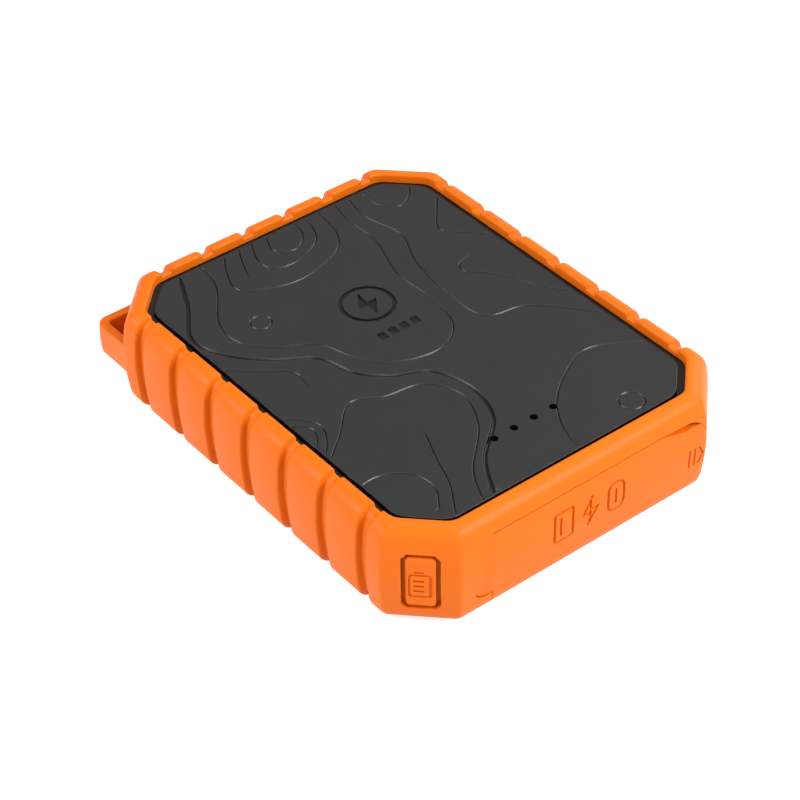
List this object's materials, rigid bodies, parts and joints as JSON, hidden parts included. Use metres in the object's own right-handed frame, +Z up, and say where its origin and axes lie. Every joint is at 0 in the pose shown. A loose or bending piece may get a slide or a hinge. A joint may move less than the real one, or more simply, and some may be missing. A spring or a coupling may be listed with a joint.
{
  "type": "power bank",
  "caption": "Rugged pocket power bank: flat hard case in a ribbed rubber bumper with cut corners, a hinged port flap, a corner button and a corner lanyard loop.",
  "frame": {"origin": "centre of the underside, on the plane the bank rests on", "axes": "+Z up through the contour panel, +Y along the bank's length away from the port flap, +X across its width"},
  "size_m": [0.0904, 0.1146, 0.025],
  "materials": {
    "orange_rubber": "soft satin moulded rubber",
    "charcoal_plastic": "matte moulded plastic with a contour relief",
    "black_plastic": "matte moulded plastic",
    "gasket_rubber": "matte silicone rubber",
    "smoky_plastic": "polished translucent plastic",
    "plated_steel": "satin plated steel",
    "nickel": "plain nickel strip",
    "board_green": "solder mask",
    "ivory_plastic": "moulded plastic",
    "chip_black": "moulded epoxy",
    "ferrite": "sintered ferrite",
    "can_aluminium": "satin can",
    "cell_foil": "laminated pouch foil",
    "tape": "double-sided tape",
    "foam": "closed-cell foam",
    "led_lens": "clear epoxy lens",
    "amber_plastic": "moulded plastic"
  },
  "bodies": {
    "case": {"bumper": "orange_rubber", "lanyard_loop": "orange_rubber", "flap_hinge": "orange_rubber", "lower_shell": "black_plastic", "upper_shell": "black_plastic", "shell_gasket": "gasket_rubber", "top_panel": "charcoal_plastic", "port_frame": "black_plastic", "light_guide": "smoky_plastic", "case_screw_1": "plated_steel", "case_screw_2": "plated_steel", "case_screw_3": "plated_steel", "case_screw_4": "plated_steel", "main_board": "board_green", "board_screw_1": "plated_steel", "board_screw_2": "plated_steel", "usb_a_shell": "plated_steel", "usb_a_tongue": "ivory_plastic", "usb_c_shell": "plated_steel", "usb_c_tongue": "black_plastic", "charge_controller": "chip_black", "output_controller": "chip_black", "power_inductor": "ferrite", "output_capacitor": "can_aluminium", "led_1": "led_lens", "led_2": "led_lens", "led_3": "led_lens", "led_4": "led_lens", "switch_body": "chip_black", "battery_cell_1": "cell_foil", "battery_cell_2": "cell_foil", "cell_tab_1": "nickel", "cell_tab_2": "nickel", "cell_tab_3": "nickel", "cell_tab_4": "nickel", "cell_tape_1": "tape", "cell_tape_2": "tape", "foam_pad_1": "foam", "foam_pad_2": "foam"},
    "flap": {"port_flap": "orange_rubber"},
    "button": {"power_button": "orange_rubber"},
    "switch": {"switch_plunger": "amber_plastic"}
  },
  "joints": [
    {"name": "flap_swing", "type": "hinge", "parent": "case", "child": "flap", "pos_m": [-0.0273, -0.0566, 0.0125], "axis": [0, 0, -1], "range_deg": [0, 135]},
    {"name": "button_press", "type": "slide", "parent": "case", "child": "button", "axis": [0.7071, 0.7071, 0], "range_m": [0, 0.0006], "stiffness_N_per_m": 800},
    {"name": "switch_press", "type": "slide", "parent": "case", "child": "switch", "axis": [0.7071, 0.7071, 0], "range_m": [0, 0.0006]}
  ],
  "couplings": [
    {"joint": "switch_press", "follows": "button_press", "ratio": 1}
  ]
}
